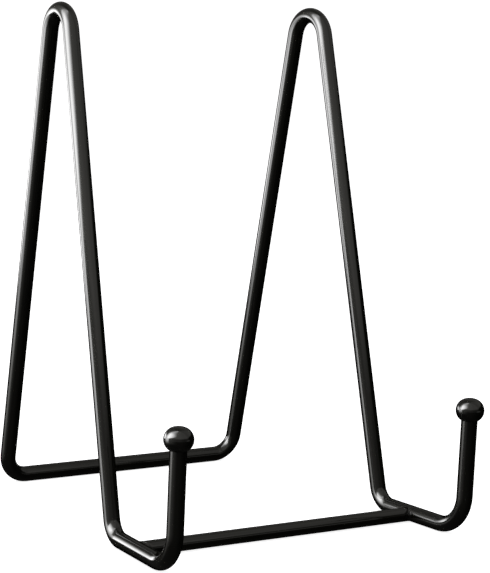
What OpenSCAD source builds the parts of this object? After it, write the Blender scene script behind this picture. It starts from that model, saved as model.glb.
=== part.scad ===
// Photo album stand: one long steel rod bent into two side frames that a rear bar joins,
// a straight crossbar welded between the feet, and a ball tip on each end of the rod.
// Millimetres, +Z up. The stand faces -Y, it rests on the plane Z = 0, and the origin
// is under the middle of its outer box.

/* [Overall size] */
// Height of the stand from the table to the top of its two peaks
stand_h = 200; // [170:1:240]
// Distance between the centre lines of the two feet, at their front corners
front_span = 129; // [95:1:160]
// Distance between the centre lines of the two rear legs, at the rear corners
rear_span = 110; // [90:1:150]
// Distance from the rear bar forward to the corner where a post leaves its foot
base_depth = 154; // [134:1:190]

/* [Bent rod] */
// Diameter of the long bent rod
rod_d = 6.35; // [6:0.05:7]
// Length of a foot, between the corners at its two ends
foot_len = 50; // [42:1:60]
// Distance from the rear bar forward to the corner at a peak
peak_forward = 45; // [35:1:65]
// Height of the cut end of a post above the table
post_top_z = 51; // [45:0.5:70]
// How far a post leans forward between the foot and its cut end
post_lean = 1; // [0:0.5:6]
// Bend radius at the post corner, on the rod's centre line
post_bend_r = 14; // [9:0.5:16]
// Bend radius at the heel, on the rod's centre line
heel_bend_r = 8.5; // [6:0.5:12]
// Bend radius at the peak, on the rod's centre line
peak_bend_r = 10; // [7:0.5:12]
// Bend radius at the rear corner, on the rod's centre line
rear_bend_r = 9; // [6:0.5:14]
// How much thinner the rod is where it has been bent
bend_thinning = 0.02; // [0.01:0.01:0.04]

/* [Front crossbar] */
// Diameter of the front crossbar
bar_d = 5.6; // [4:0.1:5.6]
// Distance from the rear bar forward to the front crossbar
bar_forward = 124; // [118:1:128]
// How far the weld stands proud of the crossbar, as long as it stays lower than the rod
weld_proud = 0.3; // [0.2:0.05:0.4]
// Length of the weld along the crossbar, from the side of the foot
weld_len = 1.2; // [0.8:0.1:2]

/* [Ball tips] */
// Diameter of a ball tip
ball_d = 11; // [10.2:0.2:13]
// Height of a ball tip along its post
ball_h = 9.2; // [8.4:0.2:10]
// Depth of the blind socket that the rod's end sits in
socket_depth = 4.4; // [3:0.2:5]
// Gap round the rod in the socket, which the adhesive fills
socket_gap = 0.05; // [0.02:0.01:0.1]

/* [Hidden] */
$fn = 64;
rod_r = rod_d / 2;
bar_r = bar_d / 2;
weld_below_rod = 0.05;
ball_r = ball_d / 2;
enamel = [0.09, 0.09, 0.10];
ball_enamel = [0.13, 0.13, 0.14];
weld_enamel = [0.20, 0.20, 0.21];

// Unit vector along v
function unit(v) = v / norm(v);

// Inner angle at corner b of the corner a, b, c
function inner_angle(a, b, c) = acos(unit(a - b) * unit(c - b));

// Distance from a sharp corner to the point where its bend starts
function setback(a, b, c, r) = r / tan(inner_angle(a, b, c) / 2);

// Each side frame is flat and upright, and the two frames open out towards the front.
// Half the distance between their centre lines, so far forward of the rear bar
function side_x(forward) = (rear_span + (front_span - rear_span) * forward / base_depth) / 2;

// Length along a side frame for each unit of depth
toe_stretch = norm([base_depth, side_x(base_depth) - side_x(0)]) / base_depth;

// How far the front leg and the rear leg run along the side frame below the sharp peak corner
front_run = (base_depth - foot_len - peak_forward) * toe_stretch;
rear_run = peak_forward * toe_stretch;

// Height of the sharp peak corner whose bend tops out at stand_h, by repeated trial
function peak_half_angle(z) = (atan(front_run / (z - rod_r)) + atan(rear_run / (z - rod_r))) / 2;
function next_peak_z(z) = stand_h - rod_r + peak_bend_r * (1 / sin(peak_half_angle(z)) - 1);
function peak_corner_z(z, tries) = tries == 0 ? z : peak_corner_z(next_peak_z(z), tries - 1);
peak_z = peak_corner_z(1.15 * stand_h, 12);

// The ball tip is a thick disc with a fully round edge. Its middle lies just below the rod's end.
ball_edge_r = ball_h / 2;
ball_flat_r = ball_r - ball_edge_r;
bore_r = rod_r + socket_gap;
ball_below = sqrt(pow(ball_edge_r, 2) - pow(bore_r - ball_flat_r, 2));
ball_drop = socket_depth - ball_below;

// The rear bar's place along Y, which puts the middle of the whole box at Y = 0
post_len = norm([post_lean * toe_stretch, post_top_z - rod_r]);
ball_forward = post_lean * (post_len - ball_drop) / post_len;
ball_reach = ball_flat_r * (post_top_z - rod_r) / post_len + ball_edge_r;
rear_y = (base_depth + ball_forward + ball_reach - rod_r) / 2;
bar_y = rear_y - bar_forward;

// Where the crossbar's centre line meets the centre line of the foot on the +X side
bar_end_x = side_x(bar_forward);

// A corner of the rod on the +X side, so far forward of the rear bar and at height z
function side_corner(forward, z) = [side_x(forward), rear_y - forward, z];

// Corners of the rod on the +X side, from the cut end of the post to the rear corner
right_corners = [
    side_corner(base_depth + post_lean, post_top_z),
    side_corner(base_depth, rod_r),
    side_corner(base_depth - foot_len, rod_r),
    side_corner(peak_forward, peak_z),
    side_corner(0, rod_r)
];
right_radii = [0, post_bend_r, heel_bend_r, peak_bend_r, rear_bend_r];

function mirror_x(p) = [-p[0], p[1], p[2]];
function reversed(list) = [for (i = [len(list) - 1 : -1 : 0]) list[i]];

rod_corners = concat(right_corners, reversed([for (p = right_corners) mirror_x(p)]));
rod_radii = concat(right_radii, reversed(right_radii));
last = len(rod_corners) - 1;

// How far a straight stretch laps over the slightly thinner bend, which joins the rod up as one solid
bend_lap = 0.02;

// Distance from corner i to the end of the straight stretch beside it
function straight_end(i) =
    (i == 0 || i == last)
        ? 0
        : setback(rod_corners[i - 1], rod_corners[i], rod_corners[i + 1], rod_radii[i]) - bend_lap;

// Places its children with their X, Y and Z along x, y and z, and their origin at p
module at_axes(x, y, z, p) {
    multmatrix([
        [x[0], y[0], z[0], p[0]],
        [x[1], y[1], z[1], p[1]],
        [x[2], y[2], z[2], p[2]],
        [0, 0, 0, 1]
    ]) children();
}

// A straight round bar from point a to point b
module bar_between(a, b, d) {
    z = unit(b - a);
    guide = abs(z[0]) > 0.7 ? [0, 1, 0] : [1, 0, 0];
    y = unit(cross(z, guide));
    at_axes(cross(y, z), y, z, a) cylinder(h = norm(b - a), d = d);
}

// The round bend at corner b of a rod that runs from a to c
module bend_at(a, b, c, r, d) {
    u = unit(a - b);
    v = unit(c - b);
    inner = inner_angle(a, b, c);
    centre = b + unit(u + v) * r / sin(inner / 2);
    start = b + u * r / tan(inner / 2);
    x = unit(start - centre);
    at_axes(x, -u, cross(x, -u), centre)
        rotate_extrude(angle = 180 - inner, $fn = 128)
            translate([r, 0]) circle(d = d);
}

// The straight stretch of the rod between corners i and i + 1
module rod_straight(i) {
    along = unit(rod_corners[i + 1] - rod_corners[i]);
    bar_between(
        rod_corners[i] + along * straight_end(i),
        rod_corners[i + 1] - along * straight_end(i + 1),
        rod_d
    );
}

module frame_rod() {
    bent_d = rod_d - bend_thinning;
    color(enamel) union() {
        for (i = [0 : last - 1]) rod_straight(i);
        for (i = [1 : last - 1])
            bend_at(rod_corners[i - 1], rod_corners[i], rod_corners[i + 1], rod_radii[i], bent_d);
    }
}

// The whole foot from corner to corner, which cuts the crossbar's end to fit, side = 1 or -1
module foot_line(side) {
    start = side > 0 ? right_corners[1] : mirror_x(right_corners[1]);
    end = side > 0 ? right_corners[2] : mirror_x(right_corners[2]);
    bar_between(start, end, rod_d);
}

module front_crossbar() {
    color(enamel) difference() {
        translate([0, bar_y, rod_r]) rotate([0, 90, 0])
            cylinder(h = 2 * bar_end_x, d = bar_d, center = true);
        foot_line(1);
        foot_line(-1);
    }
}

// A low cone of weld metal round the end of the crossbar, shaped to the side of the foot
module weld(side) {
    root_r = min(bar_r + weld_proud, rod_r - weld_below_rod);
    toe_r = bar_r + weld_proud / 6;
    root_end = rod_r - 0.1;
    toe_end = rod_r + weld_len;
    color(weld_enamel) difference() {
        translate([side * bar_end_x, bar_y, rod_r]) rotate([0, -90 * side, 0])
            rotate_extrude()
                polygon([
                    [bar_r, 0],
                    [root_r, 0],
                    [root_r, root_end],
                    [toe_r, toe_end],
                    [bar_r, toe_end]
                ]);
        foot_line(side);
    }
}

module left_weld() {
    weld(-1);
}

module right_weld() {
    weld(1);
}

// A flattened ball with a blind socket, which sits over the cut end of a post
module ball_tip(end, corner) {
    up = unit(end - corner);
    x = unit(cross([0, -1, 0], up));
    color(ball_enamel) at_axes(x, cross(up, x), up, end - up * ball_drop)
        difference() {
            rotate_extrude() intersection() {
                union() {
                    translate([ball_flat_r, 0]) circle(r = ball_edge_r);
                    translate([0, -ball_edge_r]) square([ball_flat_r, ball_h]);
                }
                translate([0, -ball_edge_r]) square([ball_r, ball_h]);
            }
            translate([0, 0, ball_drop - 2 * socket_depth]) cylinder(h = 2 * socket_depth, r = bore_r);
        }
}

module left_ball_tip() {
    ball_tip(mirror_x(right_corners[0]), mirror_x(right_corners[1]));
}

module right_ball_tip() {
    ball_tip(right_corners[0], right_corners[1]);
}

frame_rod();
front_crossbar();
left_weld();
right_weld();
left_ball_tip();
right_ball_tip();
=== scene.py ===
"""Photo album stand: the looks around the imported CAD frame. Metres, +Z up."""

import math

import bmesh
import bpy
from mathutils import Euler, Matrix, Vector


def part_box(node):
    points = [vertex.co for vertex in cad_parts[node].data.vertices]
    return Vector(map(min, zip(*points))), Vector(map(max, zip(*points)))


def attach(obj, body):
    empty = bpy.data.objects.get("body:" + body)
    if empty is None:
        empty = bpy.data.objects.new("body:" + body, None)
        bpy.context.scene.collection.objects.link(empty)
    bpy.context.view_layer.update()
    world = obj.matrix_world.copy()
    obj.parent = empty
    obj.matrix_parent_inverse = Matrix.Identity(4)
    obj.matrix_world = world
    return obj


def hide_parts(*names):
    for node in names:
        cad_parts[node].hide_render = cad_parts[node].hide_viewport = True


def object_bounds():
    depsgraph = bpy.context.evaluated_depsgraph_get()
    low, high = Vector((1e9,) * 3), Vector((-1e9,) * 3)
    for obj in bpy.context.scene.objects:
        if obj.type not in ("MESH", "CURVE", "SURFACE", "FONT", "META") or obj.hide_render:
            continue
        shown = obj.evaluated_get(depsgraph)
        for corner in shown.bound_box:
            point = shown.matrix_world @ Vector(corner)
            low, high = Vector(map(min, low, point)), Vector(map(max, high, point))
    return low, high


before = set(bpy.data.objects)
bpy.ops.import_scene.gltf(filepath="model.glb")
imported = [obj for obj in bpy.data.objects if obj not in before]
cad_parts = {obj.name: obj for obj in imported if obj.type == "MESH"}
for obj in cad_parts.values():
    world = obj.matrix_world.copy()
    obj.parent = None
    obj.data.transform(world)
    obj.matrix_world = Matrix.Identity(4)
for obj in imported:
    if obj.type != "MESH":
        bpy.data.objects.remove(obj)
cad_lo, cad_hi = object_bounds()

# ---------------------------------------------------------------- sizes
rod_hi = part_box("frame_rod")[1]
bar_lo, bar_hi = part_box("front_crossbar")

ROD_R = 0.003175
BAR_R = (bar_hi.z - bar_lo.z) / 2
REAR_Y = rod_hi.y - ROD_R
BASE_DEPTH = 0.154
FRONT_HALF, REAR_HALF = 0.0645, 0.055
BAR_Y = (bar_lo.y + bar_hi.y) / 2
POST_TOP = 0.051
# How far each corner of a side frame stands forward of the rear bar, and its bend radius.
FORWARD = {"post_end": 0.155, "post": 0.154, "heel": 0.104, "peak": 0.045, "rear": 0.0}
BEND_R = {"post": 0.014, "heel": 0.0085, "peak": 0.010, "rear": 0.009}

# Length along a side frame for each metre forward: the two frames open towards the front.
TOE = math.hypot(1, (FRONT_HALF - REAR_HALF) / BASE_DEPTH)
PEAK_FIRST_GUESS, PEAK_TRIES = 1.15, 12


def side_x(forward):
    """Half the distance between the two side frames, so far forward of the rear bar."""
    return REAR_HALF + (FRONT_HALF - REAR_HALF) * forward / BASE_DEPTH


def sharp_peak_z():
    """Height of the sharp corner whose rounded bend tops out at the CAD's height."""
    z = PEAK_FIRST_GUESS * rod_hi.z
    for _ in range(PEAK_TRIES):
        rise = z - ROD_R
        runs = (TOE * (FORWARD["heel"] - FORWARD["peak"]), TOE * FORWARD["peak"])
        half = sum(math.atan(run / rise) for run in runs) / 2
        z = rod_hi.z - ROD_R + BEND_R["peak"] * (1 / math.sin(half) - 1)
    return z


def side_corner(name, z):
    """A corner of the +X side frame, on the rod's axis."""
    return Vector((side_x(FORWARD[name]), REAR_Y - FORWARD[name], z))


# The right half of the rod's axis: sharp corners, each with its bend radius.
RIGHT = [
    (side_corner("post_end", POST_TOP), 0.0),
    (side_corner("post", ROD_R), BEND_R["post"]),
    (side_corner("heel", ROD_R), BEND_R["heel"]),
    (side_corner("peak", sharp_peak_z()), BEND_R["peak"]),
    (side_corner("rear", ROD_R), BEND_R["rear"]),
]


def mirrored(p):
    return Vector((-p.x, p.y, p.z))


# The whole rod, from the right post's end round to the left post's end.
CORNERS = RIGHT + [(mirrored(p), r) for p, r in reversed(RIGHT)]


# ---------------------------------------------------------------- mesh helpers
def new_piece(name, verts, faces):
    """A closed piece with its faces turned outwards."""
    mesh = bpy.data.meshes.new(name)
    mesh.from_pydata([tuple(v) for v in verts], [], faces)
    solid = bmesh.new()
    solid.from_mesh(mesh)
    bmesh.ops.recalc_face_normals(solid, faces=solid.faces)
    solid.to_mesh(mesh)
    solid.free()
    mesh.polygons.foreach_set("use_smooth", [True] * len(mesh.polygons))
    mesh.update()
    obj = bpy.data.objects.new(name, mesh)
    bpy.context.scene.collection.objects.link(obj)
    return obj


def ring_faces(first, second, n):
    """The quads between two rings of n points each."""
    return [(first + i, first + (i + 1) % n, second + (i + 1) % n, second + i) for i in range(n)]


def rounded_path(corners, step, turn):
    """Points (position, direction, towards the bend's centre, how bent) along a bent rod."""
    points = []
    last = len(corners) - 1
    start = corners[0][0]
    for i in range(1, last + 1):
        here, radius = corners[i]
        into = (here - corners[i - 1][0]).normalized()
        if i < last:
            out = (corners[i + 1][0] - here).normalized()
            angle = into.angle(out)
            back = radius * math.tan(angle / 2)
            end = here - into * back
        else:
            end = here
        length = (end - start).length
        count = max(2, math.ceil(length / step))
        for k in range(count + (i == last)):
            points.append((start.lerp(end, k / count), into, Vector((0, 0, 0)), 0.0))
        if i < last:
            inward = (out - into * out.dot(into)).normalized()
            centre = end + inward * radius
            count = max(4, math.ceil(angle / turn))
            for k in range(count):
                a = angle * k / count
                at = centre + (into * math.sin(a) - inward * math.cos(a)) * radius
                along = into * math.cos(a) + inward * math.sin(a)
                to_centre = (centre - at).normalized()
                bent = math.sin(math.pi * k / count) ** 0.5 if k else 0.0
                points.append((at, along, to_centre, bent))
            start = here + out * back
    return points


PATH_STEP, BEND_STEP = 0.0035, math.radians(4)
OVAL_FLATTER, OVAL_WIDER = 0.022, 0.3  # share of the radius lost, and how much of that is gained


def swept_rod(name, corners, radius, sides, chamfer):
    """A round rod along the corners. Its section is slightly oval where it has been bent."""
    path = rounded_path(corners, PATH_STEP, BEND_STEP)
    first_along = path[0][1]
    side = Vector((1, 0, 0))
    side = (side - first_along * side.dot(first_along)).normalized()
    verts, rings = [], []

    def add_ring(at, along, to_centre, bent, scale):
        rings.append(len(verts))
        up = along.cross(side)
        for k in range(sides):
            a = 2 * math.pi * k / sides
            arm = (side * math.cos(a) + up * math.sin(a)) * radius * scale
            if bent:
                inward = arm.dot(to_centre)
                rest = arm - to_centre * inward
                arm = to_centre * inward * (1 - OVAL_FLATTER * bent)
                arm += rest * (1 + OVAL_WIDER * OVAL_FLATTER * bent)
            verts.append(at + arm)

    add_ring(path[0][0], first_along, Vector(), 0.0, 1 - chamfer / radius)
    for i, (at, along, to_centre, bent) in enumerate(path):
        side = (side - along * side.dot(along)).normalized()
        place = at
        if i == 0:
            place = at + along * chamfer
        if i == len(path) - 1:
            place = at - along * chamfer
        add_ring(place, along, to_centre, bent, 1.0)
    add_ring(path[-1][0], path[-1][1], Vector(), 0.0, 1 - chamfer / radius)
    faces = []
    for a, b in zip(rings, rings[1:]):
        faces += ring_faces(a, b, sides)
    faces.append(tuple(reversed(range(rings[0], rings[0] + sides))))
    faces.append(tuple(range(rings[-1], rings[-1] + sides)))
    return new_piece(name, verts, faces)


def revolved(name, profile, segments, place):
    """A turned piece: profile is (radius, height) points, with radius 0 only at its two ends."""
    verts, rings = [], []
    for r, h in profile:
        if r == 0:
            rings.append((len(verts), 1))
            verts.append(Vector((0, 0, h)))
        else:
            rings.append((len(verts), segments))
            for k in range(segments):
                a = 2 * math.pi * k / segments
                verts.append(Vector((r * math.cos(a), r * math.sin(a), h)))
    faces = []
    for (a, na), (b, nb) in zip(rings, rings[1:]):
        if na == 1:
            faces += [(a, b + (k + 1) % segments, b + k) for k in range(segments)]
        elif nb == 1:
            faces += [(a + k, a + (k + 1) % segments, b) for k in range(segments)]
        else:
            faces += ring_faces(a, b, segments)
    return new_piece(name, [place @ v for v in verts], faces)


# ---------------------------------------------------------------- material helpers
class Nodes:
    """A small helper for building a node tree."""

    def __init__(self, tree):
        self.tree = tree
        tree.nodes.clear()

    def add(self, kind, **values):
        node = self.tree.nodes.new(kind)
        for key, value in values.items():
            setattr(node, key, value)
        return node

    def link(self, a, b):
        self.tree.links.new(a, b)

    def noise(self, coords, scale, detail=2.0, roughness=0.5):
        node = self.add("ShaderNodeTexNoise")
        node.inputs["Scale"].default_value = scale
        node.inputs["Detail"].default_value = detail
        node.inputs["Roughness"].default_value = roughness
        self.link(coords, node.inputs["Vector"])
        return node.outputs["Fac"]

    def spread(self, value, from_lo, from_hi, to_lo, to_hi):
        node = self.add("ShaderNodeMapRange", interpolation_type="SMOOTHSTEP")
        for name, number in zip(
            ("From Min", "From Max", "To Min", "To Max"), (from_lo, from_hi, to_lo, to_hi)
        ):
            node.inputs[name].default_value = number
        self.link(value, node.inputs["Value"])
        return node.outputs["Result"]

    def math(self, operation, a, b):
        node = self.add("ShaderNodeMath", operation=operation)
        for socket, value in zip(node.inputs, (a, b)):
            if isinstance(value, (int, float)):
                socket.default_value = value
            else:
                self.link(value, socket)
        return node.outputs[0]

    def mix(self, share, a, b):
        node = self.add("ShaderNodeMix", data_type="RGBA")
        self.link(share, node.inputs["Factor"])
        for socket, colour in ((node.inputs["A"], a), (node.inputs["B"], b)):
            if isinstance(colour, tuple):
                socket.default_value = (*colour, 1)
            else:
                self.link(colour, socket)
        return next(o for o in node.outputs if o.type == "RGBA")


# Noise scales are per metre. Most noise values lie between 0.3 and 0.7.
SCUFF_SCALE, CLOUD_SCALE, FINE_SCALE, GLOSS_SCALE = 700, 60, 2600, 90
SCUFF_HEIGHT = 0.0006  # scuffs end this far above the table
SCUFF_ROUGH, FINE_ROUGH = 0.3, 0.025
SAG_SCALE, SAG_DEPTH = 0.22, 2.2  # the long ripple under the orange peel, as shares of it
ENAMEL_IOR = 1.5


def scuffed(colour):
    """The greyer colour of rubbed enamel."""
    return tuple(0.05 + 4 * c for c in colour)


def enamel(name, base, speck, rough, peel_scale, peel_depth):
    """Baked black enamel: orange peel, a cloudy gloss, and scuffs where it meets the table."""
    mat = bpy.data.materials.new(name)
    mat.use_nodes = True
    n = Nodes(mat.node_tree)
    out = n.add("ShaderNodeOutputMaterial")
    shader = n.add("ShaderNodeBsdfPrincipled")
    shader.inputs["IOR"].default_value = ENAMEL_IOR
    n.link(shader.outputs["BSDF"], out.inputs["Surface"])
    coords = n.add("ShaderNodeTexCoord").outputs["Object"]
    height = n.add("ShaderNodeSeparateXYZ")
    n.link(coords, height.inputs[0])

    scuff = n.spread(height.outputs["Z"], 0.0, SCUFF_HEIGHT, 1.0, 0.0)
    patches = n.spread(n.noise(coords, SCUFF_SCALE, 4), 0.42, 0.62, 0.0, 1.0)
    scuff = n.math("MULTIPLY", scuff, patches)

    cloud = n.spread(n.noise(coords, CLOUD_SCALE, 3), 0.3, 0.7, 0.0, 1.0)
    colour = n.mix(cloud, base, speck)
    colour = n.mix(scuff, colour, scuffed(base))
    n.link(colour, shader.inputs["Base Color"])

    fine = n.spread(n.noise(coords, FINE_SCALE, 2), 0.35, 0.75, 0.0, FINE_ROUGH)
    broad = n.spread(n.noise(coords, GLOSS_SCALE, 3), 0.3, 0.7, rough[0], rough[1])
    roughness = n.math("ADD", broad, fine)
    roughness = n.math("ADD", roughness, n.math("MULTIPLY", scuff, SCUFF_ROUGH))
    n.link(roughness, shader.inputs["Roughness"])

    peel = n.noise(coords, peel_scale, 2)
    sag = n.math("MULTIPLY", n.noise(coords, peel_scale * SAG_SCALE, 2), SAG_DEPTH)
    bump = n.add("ShaderNodeBump")
    bump.inputs["Strength"].default_value = 1.0
    bump.inputs["Distance"].default_value = peel_depth
    n.link(n.math("ADD", peel, sag), bump.inputs["Height"])
    n.link(bump.outputs["Normal"], shader.inputs["Normal"])
    return mat


rod_enamel = enamel(
    "rod_enamel",
    base=(0.0030, 0.0029, 0.0020),
    speck=(0.0046, 0.0045, 0.0033),
    rough=(0.09, 0.13),
    peel_scale=620,
    peel_depth=0.0000032,
)
tip_enamel = enamel(
    "tip_enamel",
    base=(0.0029, 0.0028, 0.0020),
    speck=(0.0044, 0.0042, 0.0032),
    rough=(0.07, 0.11),
    peel_scale=520,
    peel_depth=0.0000030,
)
weld_enamel = enamel(
    "weld_enamel",
    base=(0.0034, 0.0033, 0.0025),
    speck=(0.0058, 0.0056, 0.0046),
    rough=(0.16, 0.24),
    peel_scale=900,
    peel_depth=0.0000110,
)


def finish_piece(obj, material, node):
    """Give a piece its enamel and put it in its CAD node's place."""
    obj.data.materials.append(material)
    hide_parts(node)
    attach(obj, "root")


# ---------------------------------------------------------------- the long bent rod
SIDES = 48  # points round the rod and the crossbar
END_CHAMFER = 0.0003

rod = swept_rod("bent_rod", CORNERS, ROD_R, SIDES, END_CHAMFER)
finish_piece(rod, rod_enamel, "frame_rod")


# ---------------------------------------------------------------- front crossbar
FOOT_SLOPE = (REAR_HALF - FRONT_HALF) / BASE_DEPTH
BAR_END_X = side_x(REAR_Y - BAR_Y)
BAR_RINGS = 40
BAR_SINK, WELD_SINK = 0.0001, 0.00015  # how far each reaches into the foot


def foot_face_x(y, z, sink):
    """X of the inner face of the +X foot at that y and height z over the rod's axis."""
    r = ROD_R - sink
    return BAR_END_X + FOOT_SLOPE * (y - BAR_Y) - math.sqrt(max(r * r - z * z, 0.0))


def crossbar():
    """The straight bar, with both ends coped to the round feet."""
    verts, faces, rings = [], [], []
    for j in range(BAR_RINGS + 1):
        t = -1 + 2 * j / BAR_RINGS
        rings.append(len(verts))
        for k in range(SIDES):
            a = 2 * math.pi * k / SIDES
            y, z = BAR_R * math.cos(a), BAR_R * math.sin(a)
            end = foot_face_x(BAR_Y + y, z, BAR_SINK)
            verts.append(Vector((t * end, BAR_Y + y, ROD_R + z)))
    for a, b in zip(rings, rings[1:]):
        faces += ring_faces(b, a, SIDES)
    for ring, sign in ((rings[0], -1), (rings[-1], 1)):
        centre = len(verts)
        verts.append(Vector((sign * foot_face_x(BAR_Y, 0.0, BAR_SINK), BAR_Y, ROD_R)))
        for k in range(SIDES):
            tri = (ring + k, ring + (k + 1) % SIDES, centre)
            faces.append(tri if sign < 0 else tri[::-1])
    return new_piece("crossbar", verts, faces)


finish_piece(crossbar(), rod_enamel, "front_crossbar")


# ---------------------------------------------------------------- welds
WELD_LENGTH, WELD_PROUD = 0.0012, 0.0003
WELD_BELOW_ROD = 0.00007  # a weld stays this much lower than the rod's top
WELD_START = 0.00002  # a weld's thin end stands this far off the bar
WELD_CORE = 0.0003  # a weld's inner wall lies this far inside the bar
WELD_AROUND, WELD_ACROSS = 96, 10


def weld(name, sign, phase):
    """A small concave fillet of weld metal round the crossbar's end, slightly uneven."""
    verts, faces, rings = [], [], []
    for k in range(WELD_AROUND):
        a = 2 * math.pi * k / WELD_AROUND
        rings.append(len(verts))
        lump = (
            1
            + 0.16 * math.sin(3 * a + phase)
            + 0.10 * math.sin(7 * a + 2.1 * phase)
            + 0.05 * math.sin(17 * a + 0.7 * phase)
        )
        proud = min(WELD_PROUD * lump, ROD_R - BAR_R - WELD_BELOW_ROD)
        reach = WELD_LENGTH * lump
        section = []
        for j in range(WELD_ACROSS + 1):
            t = j / WELD_ACROSS
            section.append((BAR_R + WELD_START + proud * t**2, reach * (1 - t)))
        section += [(BAR_R - WELD_CORE, 0.0), (BAR_R - WELD_CORE, reach)]
        for r, off in section:
            y, z = r * math.cos(a), r * math.sin(a)
            x = foot_face_x(BAR_Y + y, z, WELD_SINK) - off
            verts.append(Vector((sign * x, BAR_Y + y, ROD_R + z)))
    n = len(section)
    for k in range(WELD_AROUND):
        a, b = rings[k], rings[(k + 1) % WELD_AROUND]
        for j in range(n):
            quad = (a + j, a + (j + 1) % n, b + (j + 1) % n, b + j)
            faces.append(quad if sign > 0 else quad[::-1])
    return new_piece(name, verts, faces)


finish_piece(weld("weld_left", -1, 0.6), weld_enamel, "left_weld")
finish_piece(weld("weld_right", 1, 2.3), weld_enamel, "right_weld")


# ---------------------------------------------------------------- ball tips
BALL_R = 0.0055
BALL_H = 0.0092
SOCKET_DEPTH = 0.0044
SOCKET_GAP = 0.00004  # between the rod's side and the bore
BORE_R = ROD_R + SOCKET_GAP
SOCKET_AIR = 0.00005  # between the rod's end and the socket's bottom
LIP_WIDTH = 0.00022
LIP_SOFT, LIP_INNER = 0.0001, 0.00004  # the lip's rounding outside, and its chamfer inside
TOP_STEPS, CURVE_STEPS, BALL_SIDES = 4, 36, 72


def ball_profile():
    """The ball's outline from its top to its socket's bottom, and the height of that bottom."""
    edge = BALL_H / 2
    flat = BALL_R - edge
    points = [(0.0, edge)]
    for k in range(1, TOP_STEPS + 1):
        points.append((flat * k / TOP_STEPS, edge))
    lip = math.acos((BORE_R + LIP_WIDTH - flat) / edge)
    for k in range(1, CURVE_STEPS + 1):
        a = math.pi / 2 - (math.pi / 2 + lip) * k / CURVE_STEPS
        points.append((flat + edge * math.cos(a), edge * math.sin(a)))
    rim_r, rim_h = points[-1]
    points.append((rim_r - LIP_SOFT, rim_h - 0.5 * LIP_SOFT))
    points += [(BORE_R + LIP_INNER, rim_h), (BORE_R, rim_h + LIP_SOFT)]
    below = math.sqrt(edge**2 - (BORE_R - flat) ** 2)
    top = SOCKET_DEPTH - below
    points += [(BORE_R, top), (0.0, top)]
    return points, top


def ball_tip(name, end, corner):
    """A ball on the post's end, in line with the post that rises from the corner."""
    profile, socket_z = ball_profile()
    up = (end - corner).normalized()
    x = Vector((0, -1, 0)).cross(up).normalized()
    y = up.cross(x)
    place = Matrix((x, y, up)).transposed().to_4x4()
    place.translation = end + up * (SOCKET_AIR - socket_z)
    return revolved(name, profile, BALL_SIDES, place)


right_end, right_corner = RIGHT[0][0], RIGHT[1][0]
left_tip = ball_tip("tip_left", mirrored(right_end), mirrored(right_corner))
finish_piece(left_tip, tip_enamel, "left_ball_tip")
right_tip = ball_tip("tip_right", right_end, right_corner)
finish_piece(right_tip, tip_enamel, "right_ball_tip")


# ---------------------------------------------------------------- camera
YAW, PITCH, ROLL = 32.54, -8.16, -1.91  # degrees
LENS, SENSOR_WIDTH = 133.81, 36  # millimetres
CAMERA_FROM_CENTRE = Vector((-0.43900, -0.70289, 0.11005))
MID_HEIGHT = 0.1
centre = Vector(((cad_lo.x + cad_hi.x) / 2, (cad_lo.y + cad_hi.y) / 2, MID_HEIGHT))

camera_data = bpy.data.cameras.new("camera")
camera_data.sensor_width = SENSOR_WIDTH
camera_data.lens = LENS
camera_data.clip_start = 0.01
camera_data.clip_end = 100
camera = bpy.data.objects.new("camera", camera_data)
bpy.context.scene.collection.objects.link(camera)
aim = Euler((math.radians(90 + PITCH), 0, math.radians(-YAW))).to_matrix()
aim = aim @ Matrix.Rotation(math.radians(-ROLL), 3, "Z")
camera.matrix_world = Matrix.Translation(centre + CAMERA_FROM_CENTRE) @ aim.to_4x4()
bpy.context.scene.camera = camera


# ---------------------------------------------------------------- studio
def smooth(lo, hi, x):
    """0 below lo, 1 above hi, and a smooth rise between them."""
    t = min(max((x - lo) / (hi - lo), 0.0), 1.0)
    return t * t * (3 - 2 * t)


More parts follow.
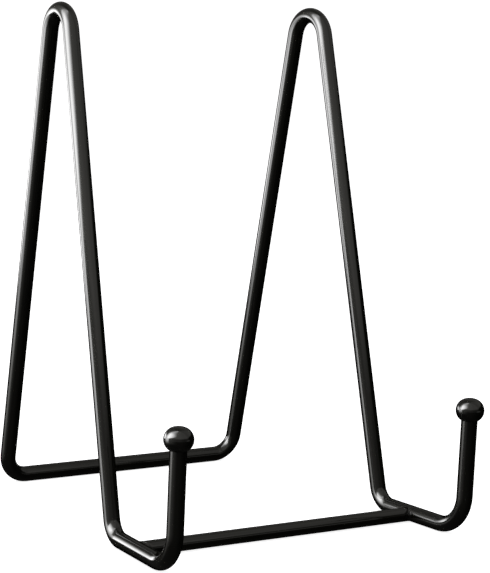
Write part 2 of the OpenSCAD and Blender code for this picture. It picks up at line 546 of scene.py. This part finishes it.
def tent_light(turn, z):
    """Brightness of the light tent at height z, for a turn in degrees as key_turn gives it.

    Dim cloth: ground below the table, middle beside the stand, wall above it, and skirting, a
    paler strip low down on the side away from the key light.
    """
    wall = 0.22 + 0.26 * smooth(-150, -100, turn) + 0.24 * smooth(-72, -58, turn)
    wall += 0.27 * smooth(-45, 15, turn) - 0.84 * smooth(98, 135, turn)
    middle = 0.13 + 0.14 * smooth(-40, 5, turn)
    middle = middle * smooth(-74, -62, turn) * (1 - smooth(120, 150, turn))
    skirting = smooth(-86, -74, turn) * (1 - smooth(-60, -45, turn)) * (1 - smooth(0.04, 0.10, z))
    middle = max(middle, 0.50 * skirting)
    ground = 0.055 * smooth(-85, 0, turn) * (1 - smooth(115, 140, turn))
    level = ground + (middle - ground) * smooth(-0.010, 0.006, z)
    base = 0.17 + 0.08 * smooth(66, 88, -turn)
    level += (wall - middle) * smooth(base, base + 0.12, z)
    # A soft wash that grows towards the key light.
    level += 0.55 * smooth(5, 78, turn) * (1 - smooth(100, 112, turn)) * smooth(-0.36, -0.05, z)

    # The key light, a large softbox whose lower edge slopes down as it turns away.
    edge = max(0.13, 0.21 - 0.005 * (turn - 60))
    key = 19 * smooth(10, 72, turn)
    key = key * (1 - 0.5 * smooth(78, 92, turn)) * (1 - smooth(94, 102, turn))
    key *= smooth(edge - 0.04, edge + 0.04, z) * (1 - 0.8 * smooth(0.45, 1.10, z))

    # The strip light below and behind it, which draws the bright lines down the legs.
    strip = 11 * smooth(66, 74, turn) * (1 - 0.55 * smooth(90, 99, turn)) * smooth(-0.22, 0.20, z)
    strip *= 1 - smooth(102, 110, turn) * (1 - smooth(-0.015, 0.025, z))
    strip *= (1 - smooth(114, 126, turn)) * (1 - smooth(0.21, 0.26, z))

    # The low light further round, which lights the tops of the feet.
    low = 14 * smooth(106, 116, turn) * (1 - smooth(124, 144, turn))
    low *= smooth(-0.010, 0.035, z) * (1 - smooth(0.02, 0.30, z))
    low *= 1 - smooth(118, 129, turn) * (1 - smooth(0.05, 0.12, z))
    return level + max(key, strip, low)


TENT_R, TENT_SIDES = 0.62, 180
TENT_FOOT, TENT_STEP, TENT_RINGS = -0.40, 0.012, 100
DOME_H, DOME_RINGS = 0.3, 8
TOP_LIGHT, GROUND_LIGHT = 0.45, 0.03
DIM_TINT, BRIGHT_TINT = (1.0, 0.985, 0.93), (1.0, 1.0, 1.0)
DIM_LEVEL, BRIGHT_LEVEL = 0.8, 4.0


def key_turn(azimuth):
    """Degrees round the stand from the photo's side towards the key light.

    The azimuth is a direction in the plan, in radians from +X. The tent stays where it is in
    other views.
    """
    return (90 - YAW - math.degrees(azimuth)) % 360 - 180


def light_tent():
    """A round tent of light cloth that only reflections see: an upright wall and a low dome."""
    top = TENT_FOOT + TENT_STEP * (TENT_RINGS - 1)
    levels = [(TENT_R, TENT_FOOT + TENT_STEP * k) for k in range(TENT_RINGS)]
    for k in range(1, DOME_RINGS):
        tilt = math.pi / 2 * k / DOME_RINGS
        levels.append((TENT_R * math.cos(tilt), top + DOME_H * math.sin(tilt)))
    verts, faces, glow = [], [], []
    for r, z in levels:
        for k in range(TENT_SIDES):
            a = 2 * math.pi * k / TENT_SIDES
            verts.append(Vector((r * math.cos(a), r * math.sin(a), z)))
            glow.append(tent_light(key_turn(a), z))
    rings = [i * TENT_SIDES for i in range(len(levels))]
    for lower, upper in zip(rings, rings[1:]):
        faces += ring_faces(upper, lower, TENT_SIDES)
    for ring, z, light in ((rings[-1], top + DOME_H, TOP_LIGHT), (0, TENT_FOOT, GROUND_LIGHT)):
        middle = len(verts)
        verts.append(Vector((0, 0, z)))
        glow.append(light)
        faces += [(ring + k, ring + (k + 1) % TENT_SIDES, middle) for k in range(TENT_SIDES)]
    tent = new_piece("light_tent", verts, faces)
    layer = tent.data.attributes.new("glow", "FLOAT", "POINT")
    layer.data.foreach_set("value", glow)
    mat = bpy.data.materials.new("tent_glow")
    mat.use_nodes = True
    mat.cycles.emission_sampling = "NONE"
    n = Nodes(mat.node_tree)
    level = n.add("ShaderNodeAttribute", attribute_name="glow")
    glowing = n.add("ShaderNodeEmission")
    n.link(level.outputs["Fac"], glowing.inputs["Strength"])
    bright = n.spread(level.outputs["Fac"], DIM_LEVEL, BRIGHT_LEVEL, 0.0, 1.0)
    n.link(n.mix(bright, DIM_TINT, BRIGHT_TINT), glowing.inputs["Color"])
    n.link(glowing.outputs[0], n.add("ShaderNodeOutputMaterial").inputs["Surface"])
    tent.data.materials.append(mat)
    tent.visible_camera = False
    tent.visible_diffuse = False
    tent.visible_shadow = False
    tent.visible_transmission = False


ROOM_FLAT, ROOM_CURVE, ROOM_WALL = 4.0, 1.5, 3.5  # radii of floor and cove, and wall height
ROOM_SHOULDER, ROOM_CEILING = 1.2, 1.6  # above the wall
ROOM_SIDES, COVE_STEPS = 96, 12
FLOOR_TONES = (0.78, 0.78, 0.78), (0.82, 0.82, 0.82)
FLOOR_GLOW = 0.9


def studio_room():
    """A plain pale floor that curves up into a plain wall all round."""
    profile = [(0.0, 0.0), (0.5, 0.0), (1.5, 0.0), (ROOM_FLAT, 0.0)]
    for k in range(1, COVE_STEPS + 1):
        a = math.pi / 2 * k / COVE_STEPS
        profile.append((ROOM_FLAT + ROOM_CURVE * math.sin(a), ROOM_CURVE * (1 - math.cos(a))))
    profile.append((ROOM_FLAT + ROOM_CURVE, ROOM_WALL))
    profile.append((ROOM_FLAT, ROOM_WALL + ROOM_SHOULDER))
    profile.append((0.0, ROOM_WALL + ROOM_CEILING))
    room = revolved("floor", profile, ROOM_SIDES, Matrix.Identity(4))
    room.data.flip_normals()  # the room is seen from inside
    mat = bpy.data.materials.new("pale_floor")
    mat.use_nodes = True
    n = Nodes(mat.node_tree)
    coords = n.add("ShaderNodeTexCoord").outputs["Object"]
    shader = n.add("ShaderNodeBsdfPrincipled")
    shader.inputs["Roughness"].default_value = 0.9
    shader.inputs["Specular IOR Level"].default_value = 0.0
    shader.inputs["Emission Strength"].default_value = FLOOR_GLOW
    shader.inputs["Emission Color"].default_value = (1, 1, 1, 1)
    n.link(n.mix(n.noise(coords, 3.0), *FLOOR_TONES), shader.inputs["Base Color"])
    n.link(shader.outputs[0], n.add("ShaderNodeOutputMaterial").inputs["Surface"])
    room.data.materials.append(mat)
    room.visible_diffuse = False
    room.visible_glossy = False
    room.visible_transmission = False
    room.visible_shadow = False


def soft_lamp(name, place, target, size, watts):
    """A square area lamp that lights the enamel but doesn't show in it."""
    lamp = bpy.data.lights.new(name, "AREA")
    lamp.shape = "SQUARE"
    lamp.size = size
    lamp.energy = watts
    obj = bpy.data.objects.new(name, lamp)
    bpy.context.scene.collection.objects.link(obj)
    obj.location = place
    obj.rotation_mode = "QUATERNION"
    obj.rotation_quaternion = (Vector(target) - Vector(place)).to_track_quat("-Z", "Y")
    obj.visible_glossy = False
    obj.visible_camera = False


light_tent()
studio_room()
soft_lamp("lamp_top", place=(-0.5, -0.2, 1.8), target=(0, 0, 0), size=1.6, watts=28)

SKY_STRENGTH = 0.25
world = bpy.data.worlds.new("studio")
bpy.context.scene.world = world
world.use_nodes = True
sky = world.node_tree.nodes["Background"]
sky.inputs["Color"].default_value = (1, 1, 1, 1)
sky.inputs["Strength"].default_value = SKY_STRENGTH
bpy.context.scene.view_settings.view_transform = "Standard"
